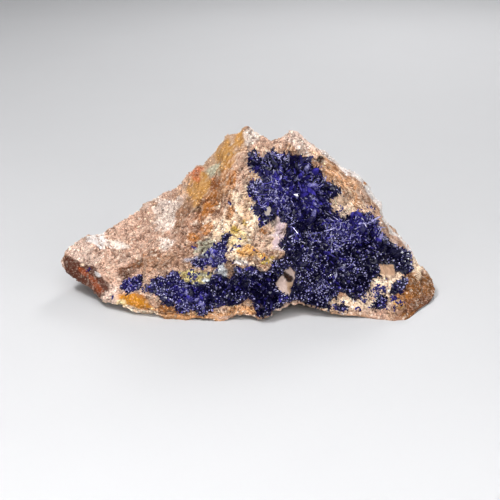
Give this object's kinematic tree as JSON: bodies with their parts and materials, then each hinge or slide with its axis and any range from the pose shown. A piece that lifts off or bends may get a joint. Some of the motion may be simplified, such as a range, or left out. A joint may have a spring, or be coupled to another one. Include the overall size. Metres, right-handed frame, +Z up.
{
  "type": "azurite specimen",
  "caption": "Rough lump of tan, iron-stained rock with a druse of dark blue azurite crystals over the right and lower part of its front face.",
  "frame": {"origin": "on the ground, under the middle of the specimen's box", "axes": "+X runs along the specimen to the right when its azurite face is looked at, -Y points out of that face, +Z is up"},
  "size_m": [0.121, 0.0574, 0.0549],
  "materials": {
    "matrix_rock": "rough broken rock, tan to rust brown, with cream and ochre stains",
    "azurite": "glassy flat crystal faces, deep blue to almost black"
  },
  "bodies": {
    "root": {"matrix": "matrix_rock", "azurite_field": "azurite", "azurite_left_patch": "azurite", "azurite_vein": "azurite", "azurite_right_bar": "azurite", "azurite_right_patch": "azurite", "azurite_toe_patch": "azurite"}
  },
  "joints": []
}
